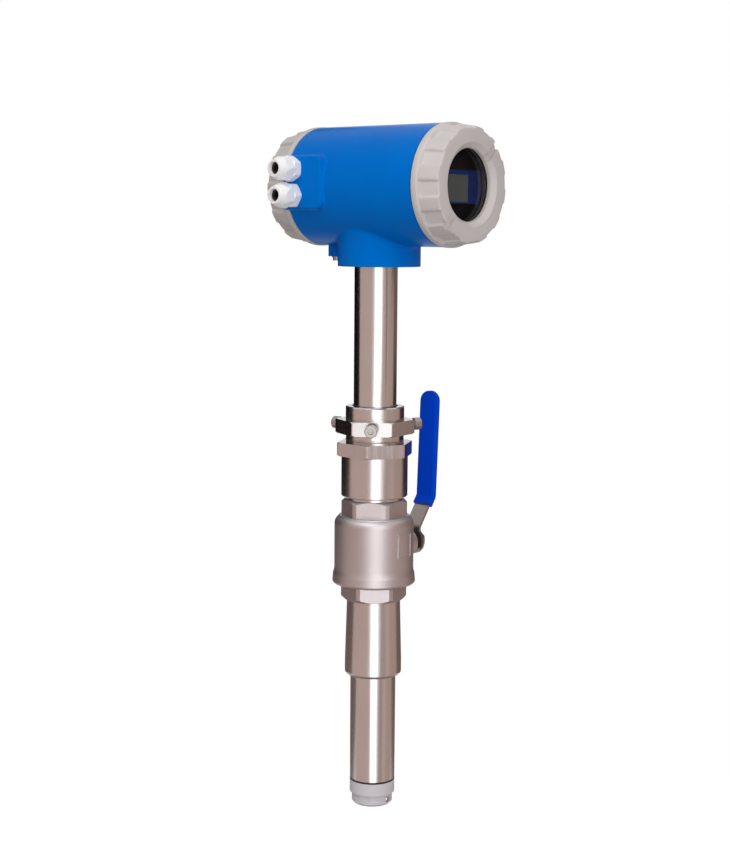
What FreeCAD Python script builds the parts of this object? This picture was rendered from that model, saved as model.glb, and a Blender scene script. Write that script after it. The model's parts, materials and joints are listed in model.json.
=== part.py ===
import FreeCAD, Part
import math
import os

# Insertion electromagnetic flow meter for a full pipe.
# A round sensor rod passes down through an open ball valve and a weld base into the pipe.
# A stuffing box on the valve seals the rod, and three screws lock it at its depth.
# The converter housing with its window, boards and cable glands sits on top of the rod.
#
# Frame: millimetres, +Z up along the rod. The origin is on the rod's axis, at the level where
# the weld bevel of the base ends and its round wall begins. +X is the housing's axis, towards
# the window. +Y is the side of the valve's lever, and the cable glands are on the -Y side.

os.makedirs("parts", exist_ok=True)
V = FreeCAD.Vector

# Rod and the tube above it
rod_od = 48.3                 # sensor rod, a standard tube size
rod_wall = 3.0
slide_gap = 0.08              # radial gap of each bore that guides the rod
neck_tube_od = 45.0
neck_tube_wall = 3.0
insertion = 146.5             # from the origin down to the end of the sensor tip
rod_top_hidden = 3.6          # how far the rod's top stays inside the collar
neck_show = 145.5             # bare tube between the collar and the housing's neck
thread_gap = 0.05             # radial gap of a screwed or plugged joint

# Sensor tip
tip_nose_d = 43.5
tip_nose_h = 12.5
tip_body_h = 13.5
tip_chamfer = 2.2
tip_gasket_h = 2.0
tip_plug_h = 20.5             # part of the tip that is plugged into the rod
tip_floor = 16.5              # solid plastic under the coil
coil_room_r = 17.0
coil_core_r = 8.0
coil_h = 25.0
coil_flange_t = 3.0
coil_gap = 0.4
electrode_head_d = 6.0
electrode_stem_d = 3.0
electrode_proud = 0.8
electrode_len = 11.0
electrode_head_len = 2.0
electrode_up = 6.3            # from the end of the tip to the electrodes' axis

# Weld base
base_od = 60.3                # a standard pipe size
base_bore = 51.2
base_bevel = 4.0
base_land = 12.0              # round wall above the bevel
base_len = 78.4               # from the origin to the valve
base_top_d = 56.6
base_thread_d = 55.2
base_thread_len = 13.5

# Ball valve
valve_bore = 51.2
hex_af = 62.5                 # both hexagon ends of the valve
hex_turn = -48.8              # direction of one flat of the lower hexagon, degrees
top_hex_turn = -57.5
hex_chamfer = 3.8
hex_slope = 40.0              # degrees off the end face, cast steeper than a turned nut's
hex_corner_cut = 1.3          # how much of each corner is cut flat
cap_hex_h = 17.2
cap_thread_r = 38.55
cap_thread_len = 14.8
body_len = 72.9               # from the end cap's hexagon to the top hexagon
body_ring_r = 44.0
body_ring_low_r = 41.0
body_ring_edge = 3.2          # height of the ring's rounded lower edge
body_ring_neck_r = 43.4
body_ring_h = 10.5
body_ring_fade = 7.0          # height over which the ring runs out into the body
body_ring_sweep = 0.3         # hollow of that run-out
body_r = 42.0
shoulder_h = 9.0              # height of the body's domed shoulder
shoulder_in = 4.2             # how much the dome narrows the body
shoulder_swell = 1.2          # the dome's rise outside a straight cone
shoulder_edge_r = 1.4
top_hex_h = 17.4
ball_up = 34.8                # from the body's lower end to the ball's centre
ball_r = 36.5
ball_room = 0.4               # gap between the ball and the body
seat_r = 33.5
seat_near = 18.5              # the seats begin and end at these heights off the ball's centre
seat_far = 28.0
seat_gap = 0.05
gasket_h = 1.5
passage_end = 33.0
gland_thread_r = 28.0
pad_w = 20.5                  # raised cast pad on each side of the body, for the size mark
pad_h = 26.0
pad_up = 9.6
pad_proud = 1.0
pad_rim = 1.3
pad_floor = 0.3               # height of the pad inside its rim

# Valve stem, its packing and the lever
stem_r = 7.0
stem_gap = 0.08
stem_collar_r = 10.0
stem_collar_h = 3.5
stem_collar_room = 0.3
tang_w = 13.0
tang_t = 9.6
tang_depth = 8.3
tang_gap = 0.2
bonnet_r = 14.5
bonnet_end = 58.0             # from the valve's axis
packing_r = 9.5
packing_seat = 45.5
stem_packing_h = 8.5
gland_nut_af = 19.5
gland_nut_h = 5.0
lever_seat = 66.0             # from the valve's axis to the lever's hub
lever_t = 3.0
lever_w = 19.0
lever_hub_r = 15.0
stem_flat = 4.8               # half of the distance over the stem's flats
stem_thread_r = 6.0
lever_bend_low = 15.6         # first bend of the lever above the stem's axis
lever_bend_high = 46.5        # second bend
lever_crank = 23.1            # sideways step between the two bends
lever_lean = 5.4              # how much further out the lever's top is
lever_top = 161.0             # top of the metal strip above the stem's axis
bend_r = 5.0
grip_w = 22.8
grip_t = 8.6
grip_over = 1.6               # sleeve beyond the strip's top
grip_start = 11.0             # sleeve begins this far below the second bend
grip_edge_r = 2.4
washer_r = 9.5
washer_t = 1.5
lever_nut_af = 17.0
lever_nut_h = 7.5
stem_end = 80.5
stem_point = 1.0
stop_w = 5.0                  # stop lug on the bonnet
stop_in_r = 11.8
stop_angle = 225.0            # from straight up, the way the lever closes
stop_gap = 1.5                # degrees left at each end of the lever's travel
lever_travel = 90.0

# Stuffing box
spigot_room = 2.0             # free space under the stuffing box's thread
undercut_r = 30.0
undercut_h = 3.1
box_r = 35.0
box_len = 43.4
box_edge = 1.0
box_hex_af = 72.2
box_hex_turn = -32.8
box_hex_h = 14.1
turned_chamfer = 1.6          # of the box's and the packing nut's hexagons
turned_corner_cut = 0.4
small_chamfer = 1.0           # of the small nuts
small_corner_cut = 0.4
box_bore_r = 25.0
box_floor_up = 13.0           # from the lower end of the round part to the packing
chamber_r = 29.5
ring_gap = 0.05
ring_count = 4
ring_h = 5.2
follower_h = 7.0
press_thread_r = 30.35
thread_show = 9.1             # thread left in sight below the packing nut's hexagon
nut_hex_af = 73.0
nut_hex_turn = -55.5
nut_hex_h = 14.8
collar_r = 30.75
collar_h = 14.2
collar_groove = 1.2
screw_r = 4.0
screw_tip_gap = 0.3
screw_head_r = 6.5
screw_head_h = 8.0
screw_reach = 53.0            # from the rod's axis to the outside of the heads
screw_socket_af = 6.0
screw_socket_h = 4.0
screw_bevel = 1.0
screw_head_bevel = 0.6

# Coupling between the rod and the tube above it
plug_low = 19.0
plug_high = 20.0
plug_bore_r = 9.0

# Converter housing
axis_up = 82.2                # from the neck's lower end to the housing's axis
body_outer_r = 61.5
body_back = -70.0
body_front = 90.8
wall_t = 5.5                  # wall of the casting
mouth_r = 46.0                # inside of the two threaded collars
mouth_len = 4.0
mouth_cone = 6.0
collar_thread_r = 51.0
collar_thread_len = 12.5
partition_x = -20.0
partition_t = 8.0
neck_r = 43.0
neck_x = 4.0
neck_fillet = 6.0
tube_in_neck = 22.0
wire_hole_r = 12.0
boss_y = -65.5
boss_right = -20.5
boss_low = -25.0
boss_high = 30.0
boss_corner_r = 9.0
boss_edge_r = 3.0
boss_root_r = 4.0
lug_x = -60.0
lug_w = 13.0
lug_h = 11.5
lug_root = 12.0
earth_screw_x = -53.8
earth_screw_r = 2.5
earth_head_r = 4.2
earth_head_h = 3.4
earth_washer_r = 5.2
earth_washer_t = 1.0
earth_slot_w = 1.2
earth_slot_depth = 1.4
earth_room = 1.0              # free thread beyond the earth screw's end

# Covers
lip_r = 62.0
lip_w = 7.0
lip_edge = 0.5
lip_bevel = 1.2
lip_root = 1.5
lip_gap = 0.5                 # dark line between the cover and the casting
lobe_crest_r = 57.5
lobe_valley_r = 55.2
lobe_count = 12
cover_len = 31.0
cover_edge_r = 3.0
cover_shoulder = 1.2          # room between a collar's end and the cover's inner step
o_ring_r = 1.4
o_ring_gap = 0.12
window_r = 36.3
window_cone_r = 41.8
window_recess = 4.5
window_ledge = 3.7
window_gasket_t = 0.8
glass_r = 42.8
glass_t = 6.0
glass_ring_t = 4.0
glass_ring_in_r = 38.0
ring_notch_w = 4.0            # slots for the tool that screws the glass ring in
ring_notch_depth = 1.5
slot_w = 9.5
slot_angle = -45.0
back_wall = 5.5
back_rim = 3.0
dish_depth = 1.2

# Display and boards
bezel_r = 44.0
bezel_t = 3.0
bezel_gap = 1.6               # from the bezel to the plane of the glass ring
panel_w = 78.0
panel_h = 33.0
panel_up = -1.4
panel_t = 4.0
panel_edge = 3.0
lcd_w = 42.0
lcd_h = 27.0
lcd_t = 1.0
lcd_shift = -4.0
lcd_up = -3.1
board_t = 1.6
board_r = 43.5
main_board_x = 30.0
main_board_gap = 6.0          # from the board's edge to the wall
post_r = 3.0
post_ring_r = 38.0
power_w = 44.0
power_h = 30.0
power_d = 22.0
terminal_w = 66.0
terminal_h = 20.0
terminal_d = 14.0
terminal_ways = 8
terminal_screw_r = 2.4
terminal_screw_h = 3.0
terminal_screw_sunk = 2.0
terminal_well_gap = 0.4
terminal_entry = 4.0          # wire hole's width, and its place behind the block's face
terminal_entry_long = 6.0

# Cable glands
gland_x = -58.0
gland_mid = 3.0               # above the housing's axis
gland_spacing = 27.0
gland_af = 23.4
gland_hex_h = 9.5
entry_r = 9.95
entry_len = 12.0
entry_bore_r = 6.9
nut_len = 18.7
nut_hex_len = 7.0
nut_corner_cut = 0.3
nut_foot_edge = 0.5
nut_rim = 2.2                 # width of the dome's end round the cable's hole
nut_swell = (0.6, 6.2)        # the dome's bulge: inside the flats, and above the hexagon
nut_lip = 4.0                 # end wall of the dome nut round the cable's hole
nut_hole_r = 6.5
nut_mouth_r = 8.6
seal_bore_r = 4.5
seal_fit = 0.2
seal_len = 14.0

# Levels along the rod's axis, each worked out from the one below it
z_tip = -insertion
z_gasket = z_tip + tip_nose_h + tip_body_h
z_rod = z_gasket + tip_gasket_h
z_cap = base_len
z_body = z_cap + cap_hex_h
z_ball = z_body + ball_up
z_top_hex = z_body + body_len
z_valve_top = z_top_hex + top_hex_h
z_spigot = z_ball + passage_end + spigot_room
z_box = z_valve_top + undercut_h
z_box_hex = z_box + box_len
z_box_top = z_box_hex + box_hex_h
z_nut = z_box_top + thread_show
z_collar = z_nut + nut_hex_h
z_collar_top = z_collar + collar_h
z_rod_top = z_collar_top - rod_top_hidden
z_neck = z_collar_top + neck_show
z_axis = z_neck + axis_up
z_tube_top = z_neck + tube_in_neck
z_packing = z_box + box_floor_up
z_follower = z_packing + ring_count * ring_h
z_nose = z_follower + follower_h
rod_r = rod_od / 2
rod_in_r = rod_r - rod_wall
guide_r = rod_r + slide_gap
wall_r = body_outer_r - wall_t
tube_r = neck_tube_od / 2
tube_in_r = tube_r - neck_tube_wall


def outline(points):
    """Closed wire in the XZ plane. A point is (r, z), or (r, z, r_mid, z_mid) if an arc leads to it."""
    edges = []
    for before, point in zip(points, points[1:] + points[:1]):
        start, end = V(before[0], 0, before[1]), V(point[0], 0, point[1])
        if len(point) == 4:
            edges.append(Part.Arc(start, V(point[2], 0, point[3]), end).toShape())
        else:
            edges.append(Part.LineSegment(start, end).toShape())
    return Part.Wire(edges)


def turned(points):
    """Solid of revolution about the Z axis from its half section."""
    return Part.Face(outline(points)).revolve(V(0, 0, 0), V(0, 0, 1), 360)


def ring(r_in, r_out, low, high):
    return turned([(r_in, low), (r_out, low), (r_out, high), (r_in, high)])


def disc(r, low, high):
    return Part.makeCylinder(r, high - low, V(0, 0, low))


def corner_arc(r, z, radius):
    """Middle of the quarter arc that rounds an upper outer corner (r, z)."""
    cut = radius * (1 - math.sqrt(0.5))
    return (r - cut, z - cut)


def to_x(shape, x=0.0, z=0.0, back=False):
    """Lay a solid built along +Z onto the X axis, pointing forward or back."""
    laid = shape.copy()
    laid.rotate(V(0, 0, 0), V(0, 1, 0), -90 if back else 90)
    laid.translate(V(x, 0, z))
    return laid


def to_y(shape, z=0.0, y=0.0, x=0.0, back=False):
    """Lay a solid built along +Z onto the Y axis, pointing to +Y, or to -Y if back."""
    laid = shape.copy()
    laid.rotate(V(0, 0, 0), V(1, 0, 0), 90 if back else -90)
    laid.translate(V(x, y, z))
    return laid


def hexagon(across, low, high, turn, chamfer=0.0, corner_cut=0.0, slope=30.0, ends="both"):
    """Hexagon prism with one flat facing the angle turn, and turned chamfers at its ends."""
    corner = across / math.sqrt(3)
    points = [V(corner * math.cos(math.radians(turn + 30 + 60 * k)),
                corner * math.sin(math.radians(turn + 30 + 60 * k)), low) for k in range(6)]
    prism = Part.Face(Part.makePolygon(points + points[:1])).extrude(V(0, 0, high - low))
    if chamfer > 0:
        outer = corner - corner_cut
        side = outer - chamfer
        rise = chamfer * math.tan(math.radians(slope))
        foot = [(outer, low)] if ends == "top" else [(side, low), (outer, low + rise)]
        head = [(outer, high)] if ends == "foot" else [(outer, high - rise), (side, high)]
        prism = prism.common(turned([(0, low)] + foot + head + [(0, high)]))
    return prism


def box(x0, x1, y0, y1, z0, z1):
    return Part.makeBox(x1 - x0, y1 - y0, z1 - z0, V(x0, y0, z0))


def cut_all(shape, tools):
    for tool in tools:
        shape = shape.cut(tool)
    return shape


def fuse_all(shapes):
    whole = shapes[0]
    for shape in shapes[1:]:
        whole = whole.fuse(shape)
    return whole.removeSplitter()


# Weld base: a short tapered pipe, welded to the main at its bevel and screwed into the valve
def weld_base():
    r, bore, top = base_od / 2, base_bore / 2, base_top_d / 2
    spigot = base_thread_d / 2
    bevel_in = r - base_bevel
    arc = (r - base_bevel * (1 - math.sqrt(0.5)), -base_bevel * math.sqrt(0.5))
    return turned([(bore, -base_bevel), (bevel_in, -base_bevel), (r, 0, arc[0], arc[1]),
                   (r, base_land), (top, z_cap), (spigot, z_cap),
                   (spigot, z_cap + base_thread_len), (bore, z_cap + base_thread_len)])


# Ball valve
def valve_end_cap():
    top = z_body + cap_thread_len
    seat_floor = z_ball - seat_far
    thread = base_thread_d / 2 + thread_gap
    end = hexagon(hex_af, z_cap, z_body, hex_turn, hex_chamfer, hex_corner_cut, hex_slope, "foot")
    cap = fuse_all([end, disc(cap_thread_r, z_body, top)])
    hole = turned([(0, z_cap), (thread, z_cap), (thread, z_cap + base_thread_len + 1),
                   (valve_bore / 2, z_cap + base_thread_len + 1), (valve_bore / 2, seat_floor),
                   (seat_r, seat_floor), (seat_r, top), (0, top)])
    return cap.cut(hole)


def size_pad(side):
    """Raised cast pad with a rim, on the +X side (1) or the -X side (-1) of the valve body."""
    low = z_ball + pad_up - pad_h / 2
    high = low + pad_h
    shell = ring(body_r - 1, body_r + pad_proud, low, high)
    block = box(0, 2 * body_r, -pad_w / 2, pad_w / 2, low, high)
    pad = shell.common(block)
    sunk = ring(body_r + pad_floor, body_r + 2 * pad_proud, low + pad_rim, high - pad_rim)
    pad = pad.cut(sunk.common(box(0, 2 * body_r, -pad_w / 2 + pad_rim, pad_w / 2 - pad_rim, low, high)))
    if side < 0:
        pad.rotate(V(0, 0, 0), V(0, 0, 1), 180)
    return pad


def stop_lug():
    """Lug on the bonnet that the lever's hub runs against when fully open or closed."""
    lug = box(-stop_w / 2, stop_w / 2, packing_seat, lever_seat + lever_t, stop_in_r, bonnet_r)
    lug.rotate(V(0, 0, 0), V(0, -1, 0), stop_angle)
    lug.translate(V(0, 0, z_ball))
    return lug


def valve_body():
    ring_top = z_body + body_ring_h
    fade_mid = ((body_ring_neck_r + body_r) / 2 - body_ring_sweep, ring_top + body_ring_fade / 2)
    low_mid = (body_ring_r - (body_ring_r - body_ring_low_r) * (1 - math.sqrt(0.5)),
               z_body + body_ring_edge * (1 - math.sqrt(0.5)))
    dome_r, dome_top = body_r - shoulder_in, z_top_hex - shoulder_edge_r
    dome_low = z_top_hex - shoulder_h
    dome_mid = ((body_r + dome_r) / 2 + shoulder_swell, (dome_low + dome_top) / 2)
    shell = turned([(0, z_body), (body_ring_low_r, z_body),
                    (body_ring_r, z_body + body_ring_edge) + low_mid, (body_ring_neck_r, ring_top),
                    (body_r, ring_top + body_ring_fade) + fade_mid, (body_r, dome_low),
                    (dome_r, dome_top) + dome_mid,
                    (dome_r - shoulder_edge_r, z_top_hex) + corner_arc(dome_r, z_top_hex, shoulder_edge_r),
                    (0, z_top_hex)])
    top = hexagon(hex_af, z_top_hex, z_valve_top, top_hex_turn,
                  hex_chamfer, hex_corner_cut, hex_slope, "top")
    bonnet = to_y(disc(bonnet_r, ball_r - 8, bonnet_end), z_ball)
    body = fuse_all([shell, top, bonnet, stop_lug(), size_pad(1), size_pad(-1)])
    room = ball_r + ball_room
    bore = valve_bore / 2
    thread = cap_thread_r + thread_gap
    seat_top = z_ball + seat_far
    hole = turned([(0, z_body), (thread, z_body), (thread, z_body + cap_thread_len + gasket_h),
                   (room, z_body + cap_thread_len + gasket_h), (room, z_ball + seat_near),
                   (seat_r, z_ball + seat_near), (seat_r, seat_top), (bore, seat_top),
                   (bore, z_ball + passage_end), (gland_thread_r, z_ball + passage_end),
                   (gland_thread_r, z_valve_top), (0, z_valve_top)])
    stem_hole = to_y(turned([
        (0, ball_r - 6), (stem_collar_r + stem_collar_room, ball_r - 6),
        (stem_collar_r + stem_collar_room, stem_shoulder() + stem_collar_room),
        (stem_r + stem_gap, stem_shoulder() + stem_collar_room), (stem_r + stem_gap, packing_seat),
        (packing_r, packing_seat), (packing_r, bonnet_end), (0, bonnet_end)]), z_ball)
    return cut_all(body, [hole, stem_hole])


def stem_shoulder():
    return ball_r + ball_room + stem_collar_h


def body_gasket():
    low = z_body + cap_thread_len
    return ring(ball_r + ball_room, cap_thread_r, low, low + gasket_h)


def ball():
    sphere = Part.makeSphere(ball_r, V(0, 0, z_ball))
    bore = disc(valve_bore / 2, z_ball - ball_r, z_ball + ball_r)
    floor = ball_r + ball_room - tang_depth - tang_gap
    groove_half = tang_t / 2 + tang_gap
    groove = box(-ball_r, ball_r, floor, ball_r + 1, z_ball - groove_half, z_ball + groove_half)
    swing = math.hypot(tang_w, tang_t) / 2 + tang_gap / 2
    pocket = to_y(disc(swing, floor, ball_r + 1), z_ball)
    return cut_all(sphere, [bore, groove, pocket])


def seat(up):
    """Seat ring above (1) or below (-1) the ball, with a ground spherical face."""
    low, high = sorted((z_ball + up * seat_near, z_ball + up * seat_far))
    blank = ring(valve_bore / 2, seat_r - seat_gap, low, high)
    return blank.cut(Part.makeSphere(ball_r + seat_gap, V(0, 0, z_ball)))


def flats(shape, half, low, high):
    """Mill two flats on a stem built along +Z, between two heights."""
    wide = 4 * half
    return cut_all(shape, [box(-wide, wide, half, wide, low, high),
                           box(-wide, wide, -wide, -half, low, high)])


def valve_stem():
    start = ball_r + ball_room
    shoulder = stem_shoulder()
    hub_end = lever_seat + lever_t
    rod = turned([(0, start), (stem_collar_r, start), (stem_collar_r, shoulder), (stem_r, shoulder),
                  (stem_r, hub_end), (stem_thread_r, hub_end), (stem_thread_r, stem_end - stem_point),
                  (stem_thread_r - stem_point, stem_end), (0, stem_end)])
    rod = flats(rod, stem_flat, lever_seat, hub_end)
    tang = box(-tang_w / 2, tang_w / 2, -tang_t / 2, tang_t / 2, start - tang_depth, start)
    return to_y(fuse_all([rod, tang]), z_ball)


def stem_packing():
    return to_y(ring(stem_r + stem_gap, packing_r, packing_seat, packing_seat + stem_packing_h), z_ball)


def stem_gland_nut():
    low = packing_seat + stem_packing_h
    top = bonnet_end + gland_nut_h
    nut = fuse_all([disc(packing_r - thread_gap, low, bonnet_end),
                    hexagon(gland_nut_af, bonnet_end, top, 0, small_chamfer, small_corner_cut)])
    return to_y(nut.cut(disc(stem_r + stem_gap, low, top)), z_ball)


# Lever: one cranked strip with a vinyl sleeve
def strip_path():
    """Middle line of the lever's strip, as (y, z) points from the hub to the top."""
    hub = lever_seat + lever_t / 2
    return [(hub, z_ball), (hub, z_ball + lever_bend_low),
            (hub + lever_crank, z_ball + lever_bend_high),
            (hub + lever_crank + lever_lean, z_ball + lever_top)]


def strip(path, thick, wide, inner_r):
    """Bent flat bar along a path in the YZ plane, with round bends."""
    def offset(side):
        out = []
        for k, (y, z) in enumerate(path):
            turns = []
            for a, b in ((k - 1, k), (k, k + 1)):
                if 0 <= a and b < len(path):
                    dy, dz = path[b][0] - path[a][0], path[b][1] - path[a][1]
                    long = math.hypot(dy, dz)
                    turns.append((dz / long, -dy / long))
            ny = sum(t[0] for t in turns) / len(turns)
            nz = sum(t[1] for t in turns) / len(turns)
            scale = side * thick / 2 / (ny * ny + nz * nz)
            out.append(V(-wide / 2, y + ny * scale, z + nz * scale))
        return out
    points = offset(1) + offset(-1)[::-1]
    bar = Part.Face(Part.makePolygon(points + points[:1])).extrude(V(wide, 0, 0))
    for k in range(1, len(path) - 1):
        (y0, z0), (y1, z1), (y2, z2) = path[k - 1], path[k], path[k + 1]
        turn = (y1 - y0) * (z2 - z1) - (z1 - z0) * (y2 - y1)
        for side in (1, -1):
            at = offset(side)[k]
            outside = side * turn > 0
            radius = inner_r + thick if outside else inner_r
            near = [e for e in bar.Edges if len(e.Vertexes) == 2
                    and abs(e.Vertexes[0].Y - at.y) + abs(e.Vertexes[0].Z - at.z) < 0.01
                    and abs(e.Vertexes[1].Y - at.y) + abs(e.Vertexes[1].Z - at.z) < 0.01]
            bar = bar.makeFillet(radius, near)
    return bar


def round_top(bar, wide, over):
    """Cut the upper end of a lever bar to a half circle as wide as the bar."""
    (y2, z2), (y3, z3) = strip_path()[2:]
    top = math.hypot(y3 - y2, z3 - z2) + over
    lean = math.degrees(math.atan2(y3 - y2, z3 - z2))
    round_part = to_y(disc(wide / 2, -wide, wide), top - wide / 2)
    corners = box(-wide, wide, -wide, wide, top - wide / 2, top + wide).cut(round_part)
    corners.rotate(V(0, 0, 0), V(1, 0, 0), -lean)
    corners.translate(V(0, y2, z2))
    return bar.cut(corners)


def lever_arm():
    return round_top(strip(strip_path(), lever_t, lever_w, bend_r), lever_w, 0)


def lever():
    arm = lever_arm()
    hub = disc(lever_hub_r, lever_seat, lever_seat + lever_t)
    hole = flats(disc(stem_r + thread_gap, lever_seat, lever_seat + lever_t),
                 stem_flat + thread_gap, lever_seat, lever_seat + lever_t)
    plate = fuse_all([arm, to_y(hub, z_ball)])
    half = math.degrees(math.asin(stop_w / 2 / stop_in_r)) + stop_gap
    first, last = stop_angle - lever_travel - half, stop_angle + half
    reach = 2 * lever_hub_r
    steps = [first + (last - first) * k / 4 for k in range(5)]
    corners = [V(-reach * math.sin(math.radians(a)), lever_seat, reach * math.cos(math.radians(a)))
               for a in steps]
    wedge = Part.Face(Part.makePolygon([V(0, lever_seat, 0)] + corners + [V(0, lever_seat, 0)]))
    wedge = wedge.extrude(V(0, lever_t, 0))
    wedge.translate(V(0, 0, z_ball))
    sector = wedge.cut(to_y(disc(stop_in_r - 0.5, lever_seat, lever_seat + lever_t), z_ball))
    return cut_all(plate, [to_y(hole, z_ball), sector])


def lever_grip():
    path = strip_path()
    (y1, z1), (y2, z2), (y3, z3) = path[1:]
    low = math.hypot(y2 - y1, z2 - z1)
    start = (y2 + (y1 - y2) * grip_start / low, z2 + (z1 - z2) * grip_start / low)
    long = math.hypot(y3 - y2, z3 - z2)
    end = (y3 + (y3 - y2) * grip_over / long, z3 + (z3 - z2) * grip_over / long)
    sleeve = strip([start, path[2], end], grip_t, grip_w, bend_r - (grip_t - lever_t) / 2)
    sleeve = round_top(sleeve, grip_w, grip_over)
    rim = [e for e in sleeve.Edges if e.BoundBox.ZMax > z_ball + lever_bend_high - grip_start / 2
           and e.Length > grip_edge_r and abs(e.BoundBox.YLength - grip_t) > 0.1]
    sleeve = sleeve.makeFillet(grip_edge_r, rim)
    return sleeve.cut(lever_arm())


def lever_washer():
    low = lever_seat + lever_t
    return to_y(ring(stem_thread_r + thread_gap, washer_r, low, low + washer_t), z_ball)


def lever_nut():
    low = lever_seat + lever_t + washer_t
    nut = hexagon(lever_nut_af, low, low + lever_nut_h, 0, small_chamfer, small_corner_cut)
    return to_y(nut.cut(disc(stem_thread_r + thread_gap, low, low + lever_nut_h)), z_ball)


# Stuffing box that seals the rod
def gland_body():
    low = z_spigot
    spigot = gland_thread_r - thread_gap
    shell = turned([(0, low), (spigot, low), (spigot, z_valve_top), (undercut_r, z_valve_top),
                    (undercut_r, z_box), (box_r - box_edge, z_box), (box_r, z_box + box_edge),
                    (box_r, z_box_hex), (0, z_box_hex)])
    head = hexagon(box_hex_af, z_box_hex, z_box_top, box_hex_turn, turned_chamfer, turned_corner_cut)
    body = fuse_all([shell, head])
    thread = press_thread_r + thread_gap
    hole = turned([(0, low), (box_bore_r, low), (box_bore_r, z_packing), (chamber_r, z_packing),
                   (chamber_r, z_nose), (thread, z_nose), (thread, z_box_top), (0, z_box_top)])
    return body.cut(hole)


def packing_rings():
    """Square rings of packing, one on the other."""
    rings = [ring(guide_r, chamber_r - ring_gap, z_packing + k * ring_h, z_packing + (k + 1) * ring_h)
             for k in range(ring_count)]
    return Part.makeCompound(rings)


def packing_follower():
    return ring(guide_r, chamber_r - ring_gap, z_follower, z_nose)


def screw_angles():
    return [nut_hex_turn + 120 * k for k in range(3)]


def radial(shape, angle, z):
    """Lay a solid built along +Z outwards from the rod's axis, at an angle and a height."""
    laid = to_x(shape, 0, z)
    laid.rotate(V(0, 0, 0), V(0, 0, 1), angle)
    return laid


def packing_nut():
    nut = fuse_all([
        disc(press_thread_r, z_nose, z_nut),
        hexagon(nut_hex_af, z_nut, z_collar, nut_hex_turn, turned_chamfer, turned_corner_cut),
        turned([(0, z_collar), (collar_r, z_collar), (collar_r, z_collar_top - collar_groove),
                (collar_r - collar_groove, z_collar_top), (0, z_collar_top)])])
    nut = nut.cut(disc(guide_r, z_nose, z_collar_top))
    mid = (z_nut + z_collar) / 2
    return cut_all(nut, [radial(disc(screw_r + thread_gap, rod_r, screw_reach), a, mid)
                         for a in screw_angles()])


def cap_screw(r, head_r, head_h, socket_af, socket_h, start, end):
    """Socket cap screw along +Z, from its point to the outside of its head."""
    under = end - head_h
    screw = turned([(0, start), (r - screw_bevel, start), (r, start + screw_bevel), (r, under),
                    (head_r, under), (head_r, end - screw_head_bevel), (head_r - screw_head_bevel, end),
                    (0, end)])
    return screw.cut(hexagon(socket_af, end - socket_h, end, 0))


def clamp_screws():
    screw = cap_screw(screw_r, screw_head_r, screw_head_h, screw_socket_af, screw_socket_h,
                      rod_r + screw_tip_gap, screw_reach)
    return Part.makeCompound([radial(screw, a, (z_nut + z_collar) / 2) for a in screw_angles()])


# Sensor rod, its tip and the tube above
def insertion_rod():
    return ring(rod_in_r, rod_r, z_rod, z_rod_top)


def rod_coupling():
    return turned([(plug_bore_r, z_rod_top - plug_low), (rod_in_r - thread_gap, z_rod_top - plug_low),
                   (rod_in_r - thread_gap, z_rod_top), (tube_in_r - thread_gap, z_rod_top),
                   (tube_in_r - thread_gap, z_rod_top + plug_high), (plug_bore_r, z_rod_top + plug_high)])


def neck_tube():
    return ring(tube_in_r, tube_r, z_rod_top, z_tube_top)


def tip_gasket():
    return ring(rod_in_r, rod_r, z_gasket, z_rod)


def electrode(side):
    """Pin with a bevelled head in the side of the tip, at +X (1) or -X (-1)."""
    out = tip_nose_d / 2
    head, stem = electrode_head_d / 2, electrode_stem_d / 2
    under = out - electrode_head_len
    pin = turned([(0, out - electrode_len), (stem, out - electrode_len), (stem, under), (head, under),
                  (head, out), (head - electrode_proud, out + electrode_proud), (0, out + electrode_proud)])
    return to_x(pin, 0, z_tip + electrode_up, back=side < 0)


def electrodes():
    return Part.makeCompound([electrode(1), electrode(-1)])


def sensor_tip():
    nose, plug = tip_nose_d / 2, rod_in_r - thread_gap
    z_step, z_plug = z_tip + tip_nose_h, z_rod + tip_plug_h
    tip = turned([(0, z_tip), (nose - tip_chamfer, z_tip), (nose, z_tip + tip_chamfer), (nose, z_step),
                  (rod_r, z_step), (rod_r, z_gasket), (plug, z_gasket), (plug, z_plug),
                  (coil_room_r, z_plug), (coil_room_r, z_tip + tip_floor), (0, z_tip + tip_floor)])
    return cut_all(tip, [electrode(1), electrode(-1)])


def coil_core():
    low = z_tip + tip_floor
    flange, top = low + coil_h, low + coil_h + coil_flange_t
    return turned([(0, low), (coil_core_r, low), (coil_core_r, flange), (coil_room_r - coil_gap, flange),
                   (coil_room_r - coil_gap, top), (0, top)])


def excitation_coil():
    low = z_tip + tip_floor
    return ring(coil_core_r + coil_gap / 4, coil_room_r - coil_gap, low, low + coil_h)


# Converter housing, one casting with its neck, gland boss and earth lug
def gland_levels():
    mid = z_axis + gland_mid
    return {"upper": mid + gland_spacing / 2, "lower": mid - gland_spacing / 2}


def gland_boss():
    """Low flat pad on the -Y side, rounded at its corners and along its edge."""
    low, high = z_axis + boss_low, z_axis + boss_high
    pad = box(body_back, boss_right, boss_y, 0, low, high)
    corners = [e for e in pad.Edges if e.BoundBox.YLength > 1 and e.BoundBox.XMin > boss_right - 1]
    pad = pad.makeFillet(boss_corner_r, corners)
    rim = [e for e in pad.Edges if e.BoundBox.YMax < boss_y + 0.01 and e.BoundBox.XMax > body_back + 1]
    return pad.makeFillet(boss_edge_r, rim)


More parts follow.
